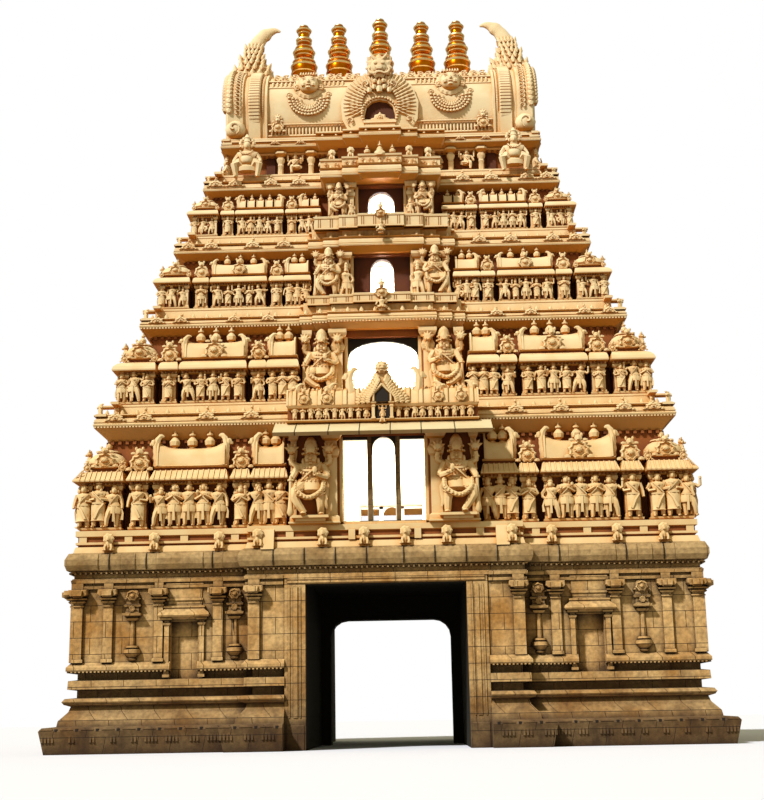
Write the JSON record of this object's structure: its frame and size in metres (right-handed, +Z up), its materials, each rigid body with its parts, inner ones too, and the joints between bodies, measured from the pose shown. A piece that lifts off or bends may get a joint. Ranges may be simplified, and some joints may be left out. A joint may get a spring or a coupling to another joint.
{
  "type": "south indian temple gateway tower",
  "caption": "Temple gateway tower: moulded granite base with a passage through it, a hollow stepped stucco tower with shrines and windows, and a horned barrel roof with gilt finials.",
  "frame": {"origin": "middle of the plan at ground level, under the roof's ridge", "axes": "+Z up, front face towards -Y, +X to the right seen from the front"},
  "size_m": [26.22, 21.68, 35.4583],
  "materials": {
    "granite": "warm brown dressed granite, worn and stained",
    "weathered_granite": "grey weathered granite with streaks",
    "stucco": "cream lime paint on lime stucco over brick, dust in the hollows",
    "eave_stone": "pale lime-washed stone slabs",
    "gilt_copper": "polished gilding on sheet copper"
  },
  "bodies": {
    "root": {"architrave": "granite", "back_door_frame": "granite", "back_gable": "stucco", "back_porch_roof": "stucco", "base_cornice": "weathered_granite", "base_pier_left": "granite", "base_pier_right": "granite", "finial_1": "gilt_copper", "finial_2": "gilt_copper", "finial_3": "gilt_copper", "finial_4": "gilt_copper", "finial_5": "gilt_copper", "front_door_frame": "granite", "front_gable": "stucco", "front_porch_roof": "stucco", "inner_door_frame": "granite", "neck_cornice": "stucco", "neck_left": "stucco", "neck_right": "stucco", "plinth_left": "granite", "plinth_right": "granite", "roof_end_left": "stucco", "roof_end_right": "stucco", "roof_vault": "stucco", "storey_1_back_eave": "eave_stone", "storey_1_back_window": "stucco", "storey_1_cornice": "stucco", "storey_1_front_eave": "eave_stone", "storey_1_front_window": "stucco", "storey_1_left": "stucco", "storey_1_right": "stucco", "storey_2_back_window": "stucco", "storey_2_cornice": "stucco", "storey_2_front_window": "stucco", "storey_2_left": "stucco", "storey_2_right": "stucco", "storey_3_back_window": "stucco", "storey_3_cornice": "stucco", "storey_3_front_window": "stucco", "storey_3_left": "stucco", "storey_3_right": "stucco", "storey_4_back_window": "stucco", "storey_4_cornice": "stucco", "storey_4_front_window": "stucco", "storey_4_left": "stucco", "storey_4_right": "stucco", "tower_foot": "stucco"}
  },
  "joints": []
}
